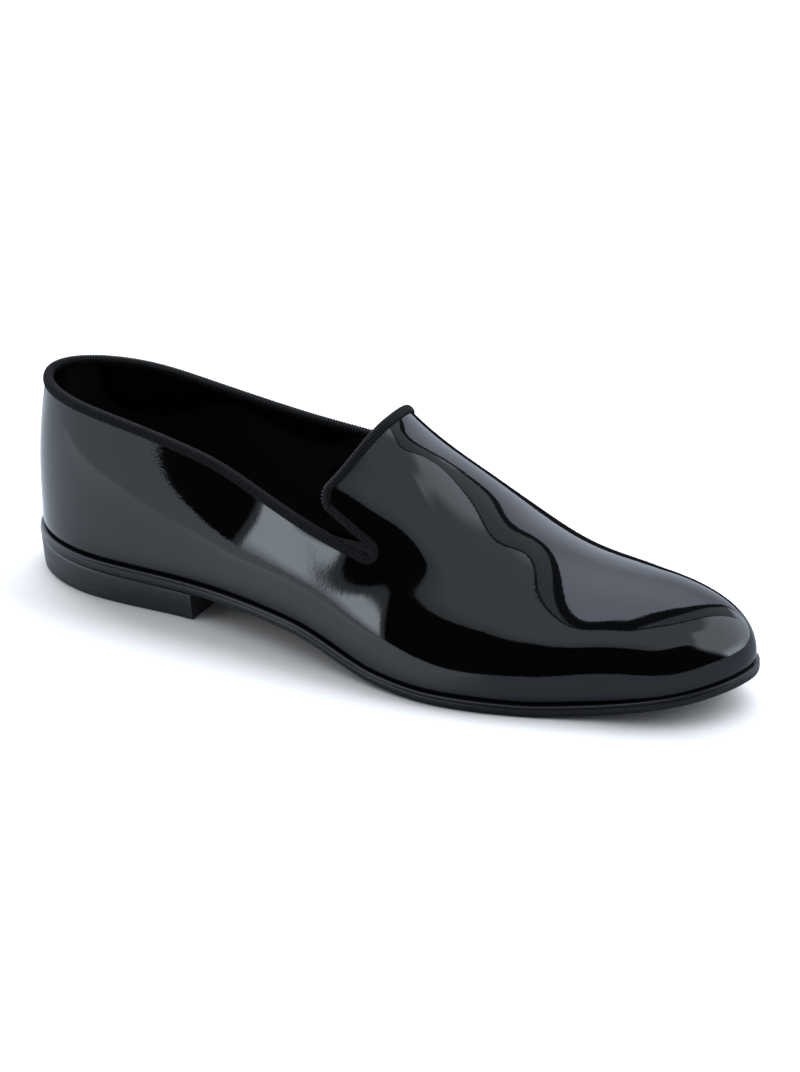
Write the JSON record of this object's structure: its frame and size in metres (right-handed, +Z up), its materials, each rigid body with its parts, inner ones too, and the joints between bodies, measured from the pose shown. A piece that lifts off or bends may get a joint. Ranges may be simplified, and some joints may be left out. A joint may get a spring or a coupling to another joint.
{
  "type": "loafer",
  "caption": "Slip-on evening loafer for the right foot: hollow glossy upper with a tongue and side notches, ribbon-bound top edge, thin sole and low block heel.",
  "frame": {"origin": "on the floor under the middle of the shoe's box", "axes": "+X from heel to toe, +Y to the inner side of the foot, +Z up"},
  "size_m": [0.2906, 0.095, 0.0845],
  "materials": {
    "patent_leather": "black patent, mirror gloss",
    "grosgrain_ribbon": "black ribbed ribbon, matt",
    "sole_leather": "black, satin edge",
    "heel_leather": "black, satin edge",
    "sock_leather": "black, matt"
  },
  "bodies": {
    "root": {"upper": "patent_leather", "topline_binding": "grosgrain_ribbon", "outsole": "sole_leather", "heel": "heel_leather", "insole": "sock_leather"}
  },
  "joints": []
}
